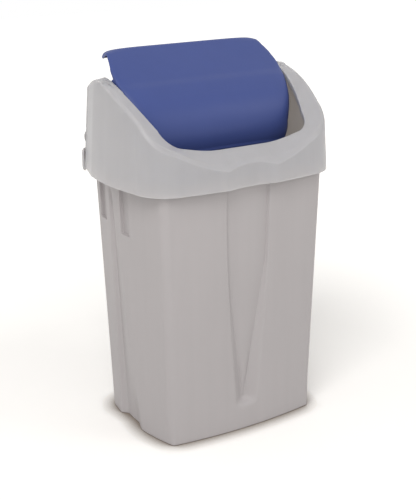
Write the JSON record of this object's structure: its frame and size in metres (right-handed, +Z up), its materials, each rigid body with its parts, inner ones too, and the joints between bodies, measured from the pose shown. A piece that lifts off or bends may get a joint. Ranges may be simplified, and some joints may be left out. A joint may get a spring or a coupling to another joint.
{
  "type": "swing lid bin",
  "caption": "Free-standing swing lid waste bin: a tall tapering bucket, a lift-off hood over its rim and a curved lid that swings on stub pins in the hood.",
  "frame": {"origin": "on the floor, in the flat underside of the bucket, under the middle of the bin", "axes": "+Z up, -Y towards the front with the tongue groove, +X to the right as seen from the front; X is the lid's hinge line"},
  "size_m": [0.422, 0.3046, 0.6995],
  "materials": {
    "bucket_plastic": "satin moulded polypropylene, warm light grey",
    "hood_plastic": "semi-gloss moulded polypropylene, warm light grey",
    "lid_plastic": "semi-gloss moulded polypropylene, muted blue"
  },
  "bodies": {
    "bucket": {"bucket": "bucket_plastic"},
    "hood": {"hood": "hood_plastic"},
    "lid": {"swing_lid": "lid_plastic"}
  },
  "joints": [
    {"name": "hood_lift", "type": "slide", "parent": "bucket", "child": "hood", "axis": [0, 0, 1], "range_m": [0, 0.06]},
    {"name": "lid_swing", "type": "hinge", "parent": "hood", "child": "lid", "pos_m": [0, 0.033, 0.641], "axis": [1, 0, 0], "range_deg": [-38, 0]}
  ]
}
